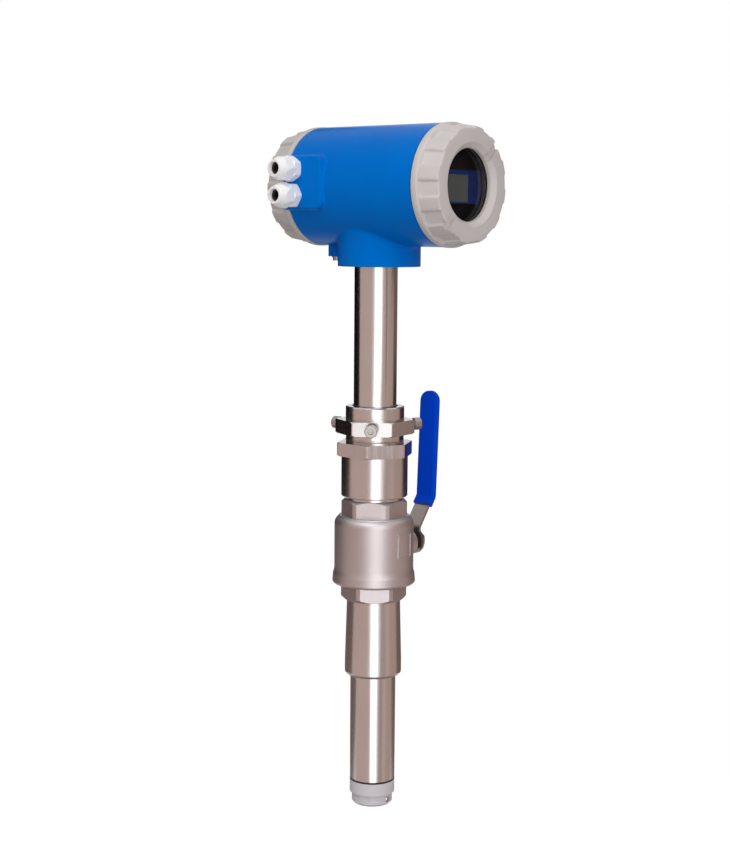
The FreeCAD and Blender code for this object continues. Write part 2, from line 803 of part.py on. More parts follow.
def housing():
    ends = [to_x(disc(collar_thread_r, 0, collar_thread_len), body_front, z_axis),
            to_x(disc(collar_thread_r, 0, collar_thread_len), body_back, z_axis, back=True)]
    barrel = to_x(disc(body_outer_r, body_back, body_front), 0, z_axis)
    neck = Part.makeCylinder(neck_r, axis_up, V(neck_x, 0, z_neck))
    body = barrel.fuse(neck)
    saddle = [e for e in body.Edges if e.BoundBox.XLength > 1 and e.BoundBox.YLength > 1
              and e.BoundBox.ZLength > 1 and e.BoundBox.ZMax < z_axis]
    body = body.makeFillet(neck_fillet, saddle)
    body = body.fuse(gland_boss())
    root = [e for e in body.Edges if e.BoundBox.YMin > boss_y + 0.5 and e.BoundBox.YMax < -1
            and e.BoundBox.XMax < boss_right + 1 and e.BoundBox.XLength > 1]
    body = body.makeFillet(boss_root_r, root)
    lug = box(lug_x, neck_x - neck_r + lug_root, -lug_w / 2, lug_w / 2,
              z_axis - body_outer_r - lug_h, z_axis - body_outer_r + lug_root)
    body = fuse_all([body, lug] + ends)
    front = to_x(turned([
        (0, partition_x + partition_t), (wall_r, partition_x + partition_t),
        (wall_r, body_front - mouth_len - mouth_cone), (mouth_r, body_front - mouth_len),
        (mouth_r, body_front + collar_thread_len), (0, body_front + collar_thread_len)]), 0, z_axis)
    front.rotate(V(0, 0, z_axis), V(1, 0, 0), 90)  # its seam would lie across the wires' hole
    back = to_x(turned([
        (0, body_back - collar_thread_len), (mouth_r, body_back - collar_thread_len),
        (mouth_r, body_back + mouth_len / 2), (wall_r, body_back + mouth_len),
        (wall_r, partition_x), (0, partition_x)]), 0, z_axis)
    tube_hole = disc(tube_r + thread_gap, z_neck, z_tube_top)
    wires = disc(wire_hole_r, z_tube_top, z_axis - wall_r / 2)
    pass_through = to_x(disc(wire_hole_r, partition_x, partition_x + partition_t), 0, z_axis - wall_r / 2)
    entries = [to_y(disc(entry_r + thread_gap, wall_r / 2, -boss_y), z, 0, gland_x, back=True)
               for z in gland_levels().values()]
    under = z_axis - body_outer_r - lug_h
    earth = disc(earth_screw_r + thread_gap, under, under + lug_h - earth_room)
    earth.translate(V(earth_screw_x, 0, 0))
    return cut_all(body, [front, back, tube_hole, wires, pass_through, earth] + entries)


def earth_screw():
    under = z_axis - body_outer_r - lug_h
    top = under + lug_h - 2 * earth_room
    head = under - earth_washer_t
    low = head - earth_head_h
    screw = turned([(0, low), (earth_head_r, low), (earth_head_r, head), (earth_washer_r, head),
                    (earth_washer_r, under), (earth_screw_r, under), (earth_screw_r, top), (0, top)])
    slot = box(-earth_head_r, earth_head_r, -earth_slot_w / 2, earth_slot_w / 2,
               low, low + earth_slot_depth)
    screw = screw.cut(slot)
    screw.translate(V(earth_screw_x, 0, 0))
    return screw


# Covers: lobed castings that screw onto the housing's collars
def lobed(length):
    """Prism with lobes round it, one arc for each."""
    step = 360 / lobe_count
    edges = []
    for k in range(lobe_count):
        angles = [math.radians(k * step + part * step) for part in (0, 0.5, 1)]
        radii = (lobe_valley_r, lobe_crest_r, lobe_valley_r)
        points = [V(r * math.cos(a), r * math.sin(a), 0) for r, a in zip(radii, angles)]
        edges.append(Part.Arc(*points).toShape())
    return Part.Face(Part.Wire(edges)).extrude(V(0, 0, length))


def cover_blank():
    """Outside of a cover, built along +Z from the edge of its lip."""
    grip = lobed(cover_len)
    edge = cover_edge_r
    mid = corner_arc(lobe_crest_r, cover_len, edge)
    grip = grip.common(turned([(0, 0), (lobe_crest_r, 0), (lobe_crest_r, cover_len - edge),
                               (lobe_crest_r - edge, cover_len, mid[0], mid[1]), (0, cover_len)]))
    lip = turned([(0, lip_gap), (lip_r - lip_edge, lip_gap), (lip_r, lip_gap + lip_edge),
                  (lip_r, lip_w - lip_bevel), (lip_r - lip_bevel, lip_w),
                  (lobe_valley_r - lip_root, lip_w + lip_root), (0, lip_w + lip_root)])
    grip = grip.common(disc(lip_r, lip_gap, cover_len))
    return fuse_all([grip, lip])


def cover_bore():
    """Room for the housing's collar and its seal."""
    thread = collar_thread_r + thread_gap
    groove = thread + 2 * o_ring_r + 2 * o_ring_gap
    depth = 2 * o_ring_r + 2 * o_ring_gap
    end = collar_thread_len + cover_shoulder
    return turned([(0, 0), (groove, 0), (groove, depth), (thread, depth), (thread, end), (0, end)])


def window_stack():
    """Heights in the front cover, from its lip: glass ring, glass, gasket, ledge and recess."""
    recess = cover_len - window_recess
    ledge = recess - window_ledge
    gasket = ledge - window_gasket_t
    glass = gasket - glass_t
    return {"ring": glass - glass_ring_t, "glass": glass, "gasket": gasket,
            "ledge": ledge, "recess": recess}


def front_cover():
    at = window_stack()
    pocket = glass_r + thread_gap
    opening = turned([(0, 0), (pocket, 0), (pocket, at["ledge"]), (window_r, at["ledge"]),
                      (window_r, at["recess"]), (window_cone_r, cover_len), (0, cover_len)])
    cover = cut_all(cover_blank(), [cover_bore(), opening])
    notch = box(-lip_r, lip_r, -slot_w / 2, slot_w / 2, at["recess"], cover_len)
    notch.rotate(V(0, 0, 0), V(0, 0, 1), 90 - slot_angle)
    return to_x(cover.cut(notch), body_front, z_axis)


def window_part(low, high, r_in, r_out):
    blank = disc(r_out, low, high) if r_in == 0 else ring(r_in, r_out, low, high)
    return to_x(blank, body_front, z_axis)


def window_glass():
    at = window_stack()
    return window_part(at["glass"], at["gasket"], 0, glass_r)


def window_gasket():
    at = window_stack()
    return window_part(at["gasket"], at["ledge"], window_r, glass_r)


def glass_ring():
    at = window_stack()
    ring_part = ring(glass_ring_in_r, glass_r, at["ring"], at["glass"])
    half, deep = ring_notch_w / 2, at["ring"] + ring_notch_depth
    notches = [box(glass_ring_in_r - half, glass_ring_in_r + half, -half, half, at["ring"], deep),
               box(-glass_ring_in_r - half, -glass_ring_in_r + half, -half, half, at["ring"], deep)]
    return to_x(cut_all(ring_part, notches), body_front, z_axis)


def rear_cover():
    cavity_r = mouth_r
    inner = turned([(0, 0), (cavity_r, 0), (cavity_r, cover_len - back_wall), (0, cover_len - back_wall)])
    dish = turned([(0, cover_len - dish_depth), (window_cone_r, cover_len - dish_depth),
                   (window_cone_r + back_rim, cover_len), (0, cover_len)])
    cover = cut_all(cover_blank(), [cover_bore(), inner, dish])
    return to_x(cover, body_back, z_axis, back=True)


def cover_seal(back):
    """Seal ring at the root of a collar, an eight-sided section that fills its groove."""
    inner, low = collar_thread_r + o_ring_gap, o_ring_gap
    outer, high = inner + 2 * o_ring_r, low + 2 * o_ring_r
    cut = 0.6 * o_ring_r
    section = turned([(inner + cut, low), (outer - cut, low), (outer, low + cut), (outer, high - cut),
                      (outer - cut, high), (inner + cut, high), (inner, high - cut), (inner, low + cut)])
    return to_x(section, body_back if back else body_front, z_axis, back=back)


# Display, boards and terminals
def display_levels():
    face = body_front + window_stack()["ring"] - bezel_gap
    return {"face": face, "bezel": face - panel_t, "board": face - panel_t - bezel_t}


def display_bezel():
    at = display_levels()
    return to_x(disc(bezel_r, at["board"], at["bezel"]), 0, z_axis)


def plate(x0, x1, wide, high, shift=0.0, up=0.0, edge=0.0):
    """Upright rectangular plate between two X values, with rounded corners."""
    mid = z_axis + up
    body = box(x0, x1, shift - wide / 2, shift + wide / 2, mid - high / 2, mid + high / 2)
    if edge > 0:
        corners = [e for e in body.Edges if e.BoundBox.XLength > (x1 - x0) / 2]
        body = body.makeFillet(edge, corners)
    return body


def display_panel():
    at = display_levels()
    frame = plate(at["bezel"], at["face"], panel_w, panel_h, 0, panel_up, panel_edge)
    return frame.cut(plate(at["face"] - lcd_t, at["face"], lcd_w, lcd_h, lcd_shift, lcd_up))


def lcd():
    at = display_levels()
    return plate(at["face"] - lcd_t, at["face"] - lcd_t / 2, lcd_w, lcd_h, lcd_shift, lcd_up)


def display_board():
    low = display_levels()["board"] - board_t
    return to_x(disc(board_r, low, low + board_t), 0, z_axis)


def main_board():
    return to_x(disc(wall_r - main_board_gap, main_board_x, main_board_x + board_t), 0, z_axis)


def board_posts():
    """Four posts from the partition to the main board, and four on to the display board."""
    spans = [(partition_x + partition_t, main_board_x),
             (main_board_x + board_t, display_levels()["board"] - board_t)]
    posts = []
    for low, high in spans:
        for k in range(4):
            angle = math.radians(45 + 90 * k)
            post = to_x(disc(post_r, low, high), 0, z_axis)
            post.translate(V(0, post_ring_r * math.cos(angle), post_ring_r * math.sin(angle)))
            posts.append(post)
    return Part.makeCompound(posts)


def power_module():
    low = main_board_x + board_t
    return box(low, low + power_d, -power_w / 2, power_w / 2, z_axis - power_h / 2, z_axis + power_h / 2)


def terminal_pitch():
    return terminal_w / terminal_ways


def terminal_block():
    back = partition_x - terminal_d
    block = box(back, partition_x, -terminal_w / 2, terminal_w / 2,
                z_axis - terminal_h / 2, z_axis + terminal_h / 2)
    for k in range(terminal_ways):
        y = (k + 0.5) * terminal_pitch() - terminal_w / 2
        well = to_x(disc(terminal_screw_r + terminal_well_gap, 0, terminal_screw_sunk + terminal_screw_h),
                    back, z_axis + terminal_h / 5)
        well.translate(V(0, y, 0))
        entry = box(back + terminal_entry, back + terminal_entry + terminal_entry_long,
                    y - terminal_entry / 2, y + terminal_entry / 2,
                    z_axis - terminal_h / 2, z_axis - terminal_h / 2 + terminal_entry_long)
        block = cut_all(block, [well, entry])
    return block


def terminal_screws():
    back = partition_x - terminal_d
    screws = []
    for k in range(terminal_ways):
        screw = to_x(disc(terminal_screw_r, terminal_screw_sunk, terminal_screw_sunk + terminal_screw_h),
                     back, z_axis + terminal_h / 5)
        screw.translate(V(0, (k + 0.5) * terminal_pitch() - terminal_w / 2, 0))
        screws.append(screw)
    return Part.makeCompound(screws)


# Cable glands
def entry_fitting(level, turn):
    """Gland body: thread in the boss, hexagon on its face and a short collar for the dome nut."""
    face = -boss_y
    collar = nut_mouth_r - thread_gap
    fitting = fuse_all([disc(entry_r, face - entry_len, face),
                        hexagon(gland_af, face, face + gland_hex_h, turn, small_chamfer, small_corner_cut),
                        disc(collar, face + gland_hex_h, face + gland_hex_h + nut_hex_len)])
    fitting = fitting.cut(disc(entry_bore_r, face - entry_len, face + gland_hex_h + nut_hex_len))
    return to_y(fitting, level, 0, gland_x, back=True)


def dome_nut(level, turn):
    """Dome nut: hexagon skirt that runs into a round dome with the cable's hole."""
    low = -boss_y + gland_hex_h
    top = low + nut_len
    corner = gland_af / math.sqrt(3) - nut_corner_cut
    blank = hexagon(gland_af, low, top, turn)
    swell = (gland_af / 2 - nut_swell[0], low + nut_hex_len + nut_swell[1])
    dome = turned([(0, low), (corner - nut_foot_edge, low), (corner, low + nut_foot_edge),
                   (corner, low + nut_hex_len), (nut_hole_r + nut_rim, top) + swell, (0, top)])
    nut = blank.common(dome)
    room = turned([(0, low), (nut_mouth_r, low), (nut_mouth_r, low + nut_hex_len + 1),
                   (entry_bore_r, top - nut_lip), (nut_hole_r, top - nut_lip), (nut_hole_r, top), (0, top)])
    return to_y(nut.cut(room), level, 0, gland_x, back=True)


def cable_seal(level):
    """Rubber bush that the dome nut squeezes onto the cable."""
    end = -boss_y + gland_hex_h + nut_len - nut_lip
    bush = ring(seal_bore_r, entry_bore_r - seal_fit, end - seal_len, end)
    return to_y(bush, level, 0, gland_x, back=True)


nodes = {
    "weld_base": weld_base(),
    "valve_end_cap": valve_end_cap(),
    "valve_body": valve_body(),
    "body_gasket": body_gasket(),
    "ball": ball(),
    "seat_upper": seat(1),
    "seat_lower": seat(-1),
    "valve_stem": valve_stem(),
    "stem_packing": stem_packing(),
    "stem_gland_nut": stem_gland_nut(),
    "lever": lever(),
    "lever_grip": lever_grip(),
    "lever_washer": lever_washer(),
    "lever_nut": lever_nut(),
    "gland_body": gland_body(),
    "packing_rings": packing_rings(),
    "packing_follower": packing_follower(),
    "packing_nut": packing_nut(),
    "clamp_screws": clamp_screws(),
    "insertion_rod": insertion_rod(),
    "rod_coupling": rod_coupling(),
    "neck_tube": neck_tube(),
    "tip_gasket": tip_gasket(),
    "sensor_tip": sensor_tip(),
    "electrodes": electrodes(),
    "coil_core": coil_core(),
    "excitation_coil": excitation_coil(),
    "housing": housing(),
    "earth_screw": earth_screw(),
    "front_cover": front_cover(),
    "window_glass": window_glass(),
    "window_gasket": window_gasket(),
    "glass_ring": glass_ring(),
    "front_seal": cover_seal(False),
    "rear_cover": rear_cover(),
    "rear_seal": cover_seal(True),
    "display_bezel": display_bezel(),
    "display_panel": display_panel(),
    "lcd": lcd(),
    "display_board": display_board(),
    "main_board": main_board(),
    "board_posts": board_posts(),
    "power_module": power_module(),
    "terminal_block": terminal_block(),
    "terminal_screws": terminal_screws(),
}
for name, turn in (("upper", 0), ("lower", 30)):
    level = gland_levels()[name]
    nodes["cable_fitting_" + name] = entry_fitting(level, turn)
    nodes["dome_nut_" + name] = dome_nut(level, turn + 30)
    nodes["cable_seal_" + name] = cable_seal(level)

for name, shape in nodes.items():
    shape.exportStep("parts/" + name + ".step")
    state = "valid" if shape.isValid() else "INVALID"
    print(name, len(shape.Solids), state, round(shape.Volume / 1000, 2), "cm3")
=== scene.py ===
# %% [markdown]
# # Insertion electromagnetic flow meter
# A round sensor rod goes down through an open ball valve and a weld base into a full pipe. A
# converter housing with a window sits on its top end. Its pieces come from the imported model, at
# their real size. This lesson gives each one its finish, makes the two covers again with the grip
# that the picture shows, adds small forms such as threads, and lights the whole thing like a
# catalogue picture.

# %% Load the frame
import json
import math

import bpy
import bmesh
from mathutils import Matrix, Vector


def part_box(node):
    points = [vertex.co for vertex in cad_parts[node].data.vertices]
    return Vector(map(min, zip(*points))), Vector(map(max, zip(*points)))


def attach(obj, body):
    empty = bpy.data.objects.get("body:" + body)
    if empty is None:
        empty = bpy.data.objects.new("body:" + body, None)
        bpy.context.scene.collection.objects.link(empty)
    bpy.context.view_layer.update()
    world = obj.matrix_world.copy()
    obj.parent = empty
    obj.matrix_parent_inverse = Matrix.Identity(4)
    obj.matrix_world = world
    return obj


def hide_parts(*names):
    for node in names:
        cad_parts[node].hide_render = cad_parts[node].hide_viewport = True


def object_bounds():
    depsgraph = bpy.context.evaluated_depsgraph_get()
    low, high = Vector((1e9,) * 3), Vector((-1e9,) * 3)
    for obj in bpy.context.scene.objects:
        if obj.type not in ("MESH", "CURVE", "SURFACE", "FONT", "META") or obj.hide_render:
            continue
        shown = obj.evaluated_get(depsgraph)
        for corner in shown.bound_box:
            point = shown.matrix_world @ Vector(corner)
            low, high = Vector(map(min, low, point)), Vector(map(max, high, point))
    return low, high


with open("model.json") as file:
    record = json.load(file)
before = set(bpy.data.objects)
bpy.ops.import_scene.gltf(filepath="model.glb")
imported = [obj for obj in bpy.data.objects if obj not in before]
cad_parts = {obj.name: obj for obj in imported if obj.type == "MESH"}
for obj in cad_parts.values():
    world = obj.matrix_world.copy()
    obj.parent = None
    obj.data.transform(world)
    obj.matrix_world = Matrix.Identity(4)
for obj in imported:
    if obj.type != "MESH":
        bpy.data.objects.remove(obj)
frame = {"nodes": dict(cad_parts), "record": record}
scene = bpy.context.scene
cad_low, cad_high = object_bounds()
print("nodes", len(frame["nodes"]), "height", round(cad_high.z - cad_low.z, 4))

# %% [markdown]
# ## The camera
# The picture that we follow was taken from a little below the housing's middle, tilted down to the
# rod, and from the side where the window and the cable glands both show. A pinhole camera needs a
# place, a direction and a focal length. We could set them by hand until the picture fits, but then
# one error hides another. Here the place is a bearing round the rod, a distance and a height,
# because those three can be judged from the picture one by one. The bearing comes from how far the
# round covers are squeezed into ellipses.

# %% Camera
FRAME_LONG_SIDE = 864       # pixels
FOCAL_PIXELS = 1600
SENSOR_WIDTH = 36           # millimetres
BEARING = math.radians(39.5)
DISTANCE = 1.670
CAMERA_LEVEL = 0.4735
PITCH = math.radians(7.41)
ROLL = math.radians(0.42)
SIDE_STEP = 0.01035         # the rod stands this far beside the line of sight

forward = Vector((-math.sin(BEARING), math.cos(BEARING), 0))
sideways = Vector((math.cos(BEARING), math.sin(BEARING), 0))
upwards = Vector((0, 0, 1))


def place_camera():
    lens = bpy.data.cameras.new("camera")
    lens.sensor_width = SENSOR_WIDTH
    lens.lens = lens.sensor_width * FOCAL_PIXELS / FRAME_LONG_SIDE
    camera = bpy.data.objects.new("camera", lens)
    scene.collection.objects.link(camera)
    camera.location = upwards * CAMERA_LEVEL - forward * DISTANCE - sideways * SIDE_STEP
    aim = forward * math.cos(PITCH) - upwards * math.sin(PITCH)
    camera.rotation_euler = aim.to_track_quat("-Z", "Y").to_euler()
    camera.rotation_euler.rotate_axis("Z", ROLL)
    scene.camera = camera
    return camera


camera = place_camera()
print("camera at", [round(c, 3) for c in camera.location], "lens", round(camera.data.lens, 1), "mm")

# %% [markdown]
# ## A small kit for finishes
# Nothing on a real instrument has one flat colour, and nothing has a knife-sharp edge. Pictures
# laid over the pieces would show that, but they need unwrapped surfaces and blur from close by, so
# each finish is a short chain of nodes instead. A slow noise lets the colour drift a little, a
# fine one moves the roughness and gives the bump, and a bevel node rounds the sharp edges of the
# model in the shading, so that they catch the light as real edges do. All patterns are read from
# object coordinates, which are metres here: a noise of scale 500 has grains of about two
# millimetres.


# %% A new material and its noise
def new_material(name):
    material = bpy.data.materials.new(name)
    material.use_nodes = True
    tree = material.node_tree
    return material, tree, tree.nodes["Principled BSDF"]


def grain(tree, scale, stretch=(1, 1, 1), detail=3.0):
    """Noise over the object's own metres, stretched along an axis if asked."""
    place = tree.nodes.new("ShaderNodeTexCoord")
    mapping = tree.nodes.new("ShaderNodeMapping")
    mapping.inputs["Scale"].default_value = stretch
    noise = tree.nodes.new("ShaderNodeTexNoise")
    noise.inputs["Scale"].default_value = scale
    noise.inputs["Detail"].default_value = detail
    tree.links.new(place.outputs["Object"], mapping.inputs["Vector"])
    tree.links.new(mapping.outputs["Vector"], noise.inputs["Vector"])
    return noise.outputs["Fac"]


# %% Blending by the noise
GRAIN_LOW, GRAIN_HIGH = 0.3, 0.7  # a noise spends nearly all its time between these two values


def blend_colour(tree, source, low, high, socket):
    """Lead a socket from one colour to another as the noise rises."""
    ramp = tree.nodes.new("ShaderNodeValToRGB")
    for stop, place, colour in zip(ramp.color_ramp.elements, (GRAIN_LOW, GRAIN_HIGH), (low, high)):
        stop.position = place
        stop.color = (*colour, 1)
    tree.links.new(source, ramp.inputs["Fac"])
    tree.links.new(ramp.outputs["Color"], socket)


def blend_value(tree, source, low, high, socket):
    """Lead a socket from one value to another as the noise rises."""
    ramp = tree.nodes.new("ShaderNodeMapRange")
    for name, value in (("From Min", GRAIN_LOW), ("From Max", GRAIN_HIGH),
                        ("To Min", low), ("To Max", high)):
        ramp.inputs[name].default_value = value
    tree.links.new(source, ramp.inputs["Value"])
    tree.links.new(ramp.outputs["Result"], socket)


# %% Relief
BEVEL_SAMPLES = 4


def relief(tree, shader, source, depth, edge):
    """Bump of a real depth over edges rounded by a real radius, both in metres; either may be 0."""
    normal = None
    if edge > 0:
        rounding = tree.nodes.new("ShaderNodeBevel")
        rounding.samples = BEVEL_SAMPLES
        rounding.inputs["Radius"].default_value = edge
        normal = rounding.outputs["Normal"]
    if depth > 0:
        bump = tree.nodes.new("ShaderNodeBump")
        bump.inputs["Distance"].default_value = depth
        tree.links.new(source, bump.inputs["Height"])
        if normal:
            tree.links.new(normal, bump.inputs["Normal"])
        normal = bump.outputs["Normal"]
    if normal:
        tree.links.new(normal, shader.inputs["Normal"])


# %% One finish from a few numbers
DRIFT_SCALE = 18              # the colour drifts over patches of about five centimetres
SHARP, SOFT = 0.0003, 0.0008  # radius of a machined edge and of a painted or cast one


def finish_of(name, colour, rough, scale, depth, drift=0.04, edge=0.0, stretch=(1, 1, 1), metal=0.0,
              gloss=0.5, sheen_tint=(1, 1, 1)):
    """Colour with a slow drift, roughness between two values, and a fine grain in relief."""
    material, tree, shader = new_material(name)
    slow = grain(tree, DRIFT_SCALE)
    fine = grain(tree, scale, stretch)
    darker = tuple(c * (1 - drift) for c in colour)
    brighter = tuple(min(1.0, c * (1 + drift)) for c in colour)
    blend_colour(tree, slow, darker, brighter, shader.inputs["Base Color"])
    blend_value(tree, fine, rough[0], rough[1], shader.inputs["Roughness"])
    relief(tree, shader, fine, depth, edge)
    shader.inputs["Metallic"].default_value = metal
    shader.inputs["Specular IOR Level"].default_value = gloss
    shader.inputs["Specular Tint"].default_value = (*sheen_tint, 1)
    return material


finishes = {}
print("edges rounded by", 1000 * SHARP, "and", 1000 * SOFT, "mm")

# %% [markdown]
# ## Paint, rubber and plastic
# The housing is a casting with baked blue paint, so deep that even its sheen looks blue: its shader
# gets a tinted reflection. Its covers are painted warm grey. Both have the faint skin of sprayed
# paint, so their grain is about a millimetre wide and only some hundredths of one deep. The lever's
# sleeve is dipped vinyl, the cable glands are moulded nylon, and the sensor's tip is cast plastic.
# They could all be built by hand in the shader editor, but they differ only in a few numbers, so a
# table holds those: colour, roughness from and to, grain, depth, drift, edge, gloss and its tint.

# %% Paint, rubber and plastic
PLAIN, BLUE = (1, 1, 1), (0.0, 0.40, 1.0)
for name, colour, rough, scale, depth, drift, edge, gloss, tint in (
        ("housing_paint", (0.0, 0.158, 0.60), (0.26, 0.34), 900, 0.00001, 0.04, SOFT, 0.06, BLUE),
        ("cover_paint", (0.60, 0.555, 0.54), (0.44, 0.54), 1000, 0.00002, 0.03, SOFT, 0.35, PLAIN),
        ("seal_rubber", (0.018, 0.018, 0.018), (0.60, 0.75), 600, 0.00002, 0.10, SHARP, 0.4, PLAIN),
        ("lever_vinyl", (0.0, 0.056, 0.66), (0.28, 0.36), 500, 0.00002, 0.05, 0.0, 0.16, BLUE),
        ("packing", (0.78, 0.77, 0.74), (0.40, 0.50), 500, 0.00002, 0.03, 0.0, 0.4, PLAIN),
        ("tip_plastic", (0.66, 0.61, 0.65), (0.38, 0.50), 500, 0.00002, 0.04, SHARP, 0.4, PLAIN),
        ("gland_nylon", (0.96, 0.93, 0.92), (0.34, 0.44), 500, 0.00001, 0.02, SHARP, 0.4, PLAIN),
        ("bezel_black", (0.016, 0.008, 0.009), (0.45, 0.55), 500, 0.00001, 0.10, 0.0, 0.1, PLAIN),
        ("panel_blue", (0.020, 0.034, 0.140), (0.35, 0.45), 500, 0.00001, 0.05, 0.0, 0.1, BLUE),
        ("lcd_glass", (0.120, 0.118, 0.114), (0.20, 0.28), 300, 0.000004, 0.05, 0.0, 0.1, PLAIN),
        ("board_green", (0.020, 0.120, 0.050), (0.30, 0.40), 600, 0.00002, 0.10, 0.0, 0.4, PLAIN),
        ("module_black", (0.030, 0.030, 0.033), (0.50, 0.60), 500, 0.00002, 0.10, SHARP, 0.4, PLAIN),
        ("terminal_green", (0.030, 0.250, 0.080), (0.35, 0.45), 500, 0.00002, 0.05, 0.0, 0.4, PLAIN)):
    finishes[name] = finish_of(name, colour, rough, scale, depth, drift, edge,
                               gloss=gloss, sheen_tint=tint)
print("paints and plastics", len(finishes))

# %% [markdown]
# ## Metal
# Stainless steel has no colour of its own beyond a light grey: what we see is the studio in it. The
# pipe and the turned pieces are drawn and polished along their length, so their grain is stretched
# along Z and changes only how sharp the reflections are. It has no relief, which keeps the bands of
# light crisp. The valve is cast and blasted: rough, matt and grainy. Copper, brass and iron are
# inside. The table has the same columns as before, with the grain's stretch in place of the gloss
# and its tint.

# %% Metal
POLISHED, EVEN, WOUND = (1, 1, 0.03), (1, 1, 1), (0.2, 0.2, 20)
for name, colour, rough, scale, depth, drift, edge, stretch in (
        ("polished_steel", (0.55, 0.54, 0.54), (0.18, 0.24), 260, 0.0, 0.02, SHARP, POLISHED),
        ("machined_steel", (0.54, 0.52, 0.52), (0.20, 0.28), 260, 0.0, 0.03, SHARP, POLISHED),
        ("cast_steel", (0.485, 0.450, 0.460), (0.43, 0.53), 1500, 0.00005, 0.05, SOFT, EVEN),
        ("lever_steel", (0.32, 0.285, 0.27), (0.26, 0.36), 500, 0.00001, 0.06, SHARP, EVEN),
        # The clamp screws' steel is darker than the other steel: partly real steel, partly painted
        # shade standing in for the shade round the front screw's head and in its socket.
        ("screw_steel", (0.36, 0.34, 0.33), (0.30, 0.38), 500, 0.00001, 0.05, SHARP, EVEN),
        ("electrode_steel", (0.40, 0.39, 0.39), (0.20, 0.30), 500, 0.00001, 0.05, SHARP, EVEN),
        ("core_iron", (0.15, 0.15, 0.16), (0.50, 0.60), 500, 0.00003, 0.10, 0.0, EVEN),
        ("coil_copper", (0.45, 0.18, 0.07), (0.30, 0.40), 500, 0.00003, 0.10, 0.0, WOUND),
        ("post_brass", (0.60, 0.42, 0.18), (0.25, 0.35), 500, 0.00001, 0.05, SHARP, EVEN)):
    finishes[name] = finish_of(name, colour, rough, scale, depth, drift, edge, stretch, metal=1.0)
print("finishes", len(finishes))

# %% [markdown]
# ## Window
# The window is a thick disc of clear glass. A see-through colour would be simpler, but it wouldn't
# bend the light at the edge, so the disc is real glass with its refraction. It needs no grain, only
# a slightly green body and a very fine unevenness, so that its reflections aren't those of a perfect
# mirror.

# %% Window glass
GLASS_IOR = 1.5
HAZE_SCALE = 60


def window_finish():
    material, tree, shader = new_material("window")
    shader.inputs["Transmission Weight"].default_value = 1.0
    shader.inputs["IOR"].default_value = GLASS_IOR
    haze = grain(tree, HAZE_SCALE)
    blend_colour(tree, haze, (0.94, 0.97, 0.965), (0.96, 0.98, 0.975), shader.inputs["Base Color"])
    blend_value(tree, haze, 0.0, 0.03, shader.inputs["Roughness"])
    return material


finishes["window"] = window_finish()
print("window glass", GLASS_IOR, "finishes", len(finishes))

# %% [markdown]
# ## Dressing the pieces
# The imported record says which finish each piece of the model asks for. We could name the pieces one
# by one, but reading the record can't miss any.

# %% Give each node its finish
slot_of = {row["node"]: row["material_slot"] for row in frame["record"]["subparts"]}
for node, piece in frame["nodes"].items():
    piece.data.materials.clear()
    piece.data.materials.append(finishes[slot_of[node]])
print("nodes with a finish", len(slot_of))

# %% [markdown]
# ## Threads
# A thread is one ridge that winds up a shaft. We could cut it, but a ridge laid on the plain shaft
# looks the same and is lighter: a triangle is carried round the axis while it climbs, and it sinks
# into the shaft at both ends, where a real thread runs out. The packing nut shows a few turns
# between its hexagon and the stuffing box, and the clamp screws and the lever's stem show some too.

# %% Winding a ridge
STEPS_A_TURN = 48
SUNK = 0.0001         # how far a ridge's foot lies inside its shaft
HALF_RIDGE = 0.47     # half of a ridge's foot, as a share of the pitch


def thread(name, body, slot, place, radius, low, high, pitch, depth):
    """Ridge of a thread along the Z axis of place, from low to high, all in metres."""
    turns = (high - low) / pitch - 1
    count = int(turns * STEPS_A_TURN)
    half = HALF_RIDGE * pitch
    rings = []
    build = bmesh.new()
    for k in range(count + 1):
        angle = 2 * math.pi * k / STEPS_A_TURN
        middle = low + pitch * (0.5 + k / STEPS_A_TURN)
        fade = min(1.0, 2 * k / STEPS_A_TURN, 2 * (count - k) / STEPS_A_TURN)
        crest = radius + depth * fade - SUNK * (1 - fade)
        corners = ((radius - SUNK, middle - half), (crest, middle), (radius - SUNK, middle + half))
        rings.append([build.verts.new(place @ Vector((r * math.cos(angle), r * math.sin(angle), z)))
                      for r, z in corners])
    for before, after in zip(rings, rings[1:]):
        for k in range(3):
            build.faces.new((before[k], after[k], after[(k + 1) % 3], before[(k + 1) % 3]))
    build.faces.new(rings[0])
    build.faces.new(rings[-1][::-1])
    bmesh.ops.recalc_face_normals(build, faces=build.faces)
    mesh = bpy.data.meshes.new(name)
    build.to_mesh(mesh)
    build.free()
    mesh.materials.append(finishes[slot])
    ridge = bpy.data.objects.new(name, mesh)
    scene.collection.objects.link(ridge)
    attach(ridge, body)
    print(name, "turns", round(turns, 1), "faces", len(mesh.polygons))
    return ridge


# %% [markdown]
# ## The packing nut's thread
# The packing nut is turned down a little under its hexagon, and below that its thread goes into the
# stuffing box. So the ridge starts right above the box and ends under that plain band. The box's
# upper end is read from the model, so that the thread follows it.

# %% Thread of the packing nut
NUT_THREAD_R = 0.03035
NUT_PITCH, NUT_RIDGE = 0.0015, 0.00035
NUT_GAP = 0.0001        # between the stuffing box and the ridge
THREAD_SHOWN = 0.0091   # from the stuffing box up to the nut's hexagon
PLAIN_BAND = 0.0043     # turned neck without thread, right under the nut's hexagon
box_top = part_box("gland_body")[1].z
thread("nut_thread", "valve", "machined_steel", Matrix.Identity(4), NUT_THREAD_R,
       box_top + NUT_GAP, box_top + THREAD_SHOWN - PLAIN_BAND, NUT_PITCH, NUT_RIDGE)

# %% [markdown]
# ## Clamp screws and stem
# Three screws go straight in through the nut's hexagon and clamp the rod. Their thread shows
# between the hexagon and the heads. They are one screw turned to three bearings, so a loop lays the
# same ridge three times: the ridge is wound along Z, tipped to X, turned, and lifted to the middle
# of the hexagon. The stem that carries the lever points along Y and shows a last bit of thread
# beyond its nut.

